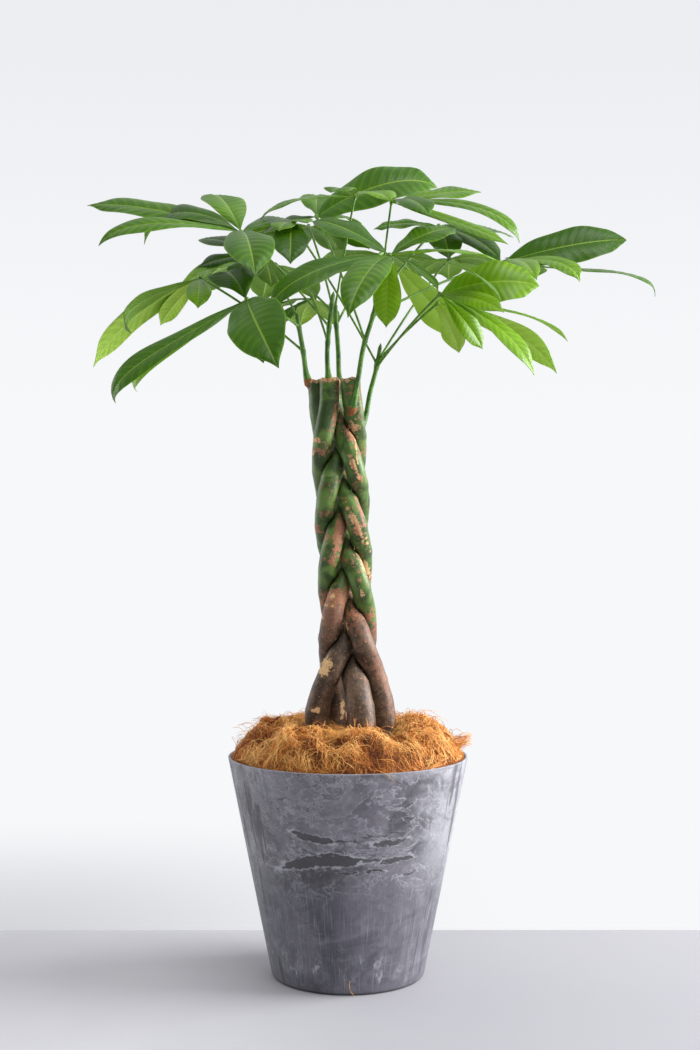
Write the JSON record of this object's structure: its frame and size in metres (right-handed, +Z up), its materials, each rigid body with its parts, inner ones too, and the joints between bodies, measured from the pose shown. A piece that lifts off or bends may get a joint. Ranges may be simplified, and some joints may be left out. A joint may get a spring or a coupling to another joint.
{
  "type": "potted braided money tree",
  "caption": "Potted money tree: a braided trunk with palmate leaves in a tapered round grey pot topped with coconut fibre.",
  "frame": {"origin": "centre of the pot's underside, on the plane that it stands on", "axes": "+Z straight up through the pot's centre, the longest extent; front looks along -Y; +X to the right seen from the front"},
  "size_m": [0.7973, 0.608, 1.1382],
  "materials": {
    "pot": "matte cool grey stone look with pale streaks and darker torn patches",
    "soil": "dark potting soil",
    "coir": "loose orange-brown coconut fibre",
    "bark": "smooth green bark with tan scars, brown-grey towards the foot",
    "shoot": "smooth fresh green shoots",
    "leaf": "glossy green leaves with pale midribs and strong side veins"
  },
  "bodies": {
    "root": {"pot": "pot", "soil": "soil", "coir_mulch": "coir", "stem_1": "bark", "stem_2": "bark", "stem_3": "bark", "stem_4": "bark", "stem_5": "bark", "shoot_1": "shoot", "shoot_2": "shoot", "shoot_3": "shoot", "shoot_4": "shoot", "shoot_5": "shoot", "leaf_01": "leaf", "leaf_02": "leaf", "leaf_03": "leaf", "leaf_04": "leaf", "leaf_05": "leaf", "leaf_06": "leaf", "leaf_07": "leaf", "leaf_08": "leaf", "leaf_09": "leaf", "leaf_10": "leaf", "leaf_11": "leaf", "leaf_12": "leaf", "leaf_13": "leaf", "leaf_14": "leaf", "leaf_15": "leaf", "leaf_16": "leaf", "leaf_17": "leaf", "leaf_18": "leaf", "leaf_19": "leaf"}
  },
  "joints": []
}
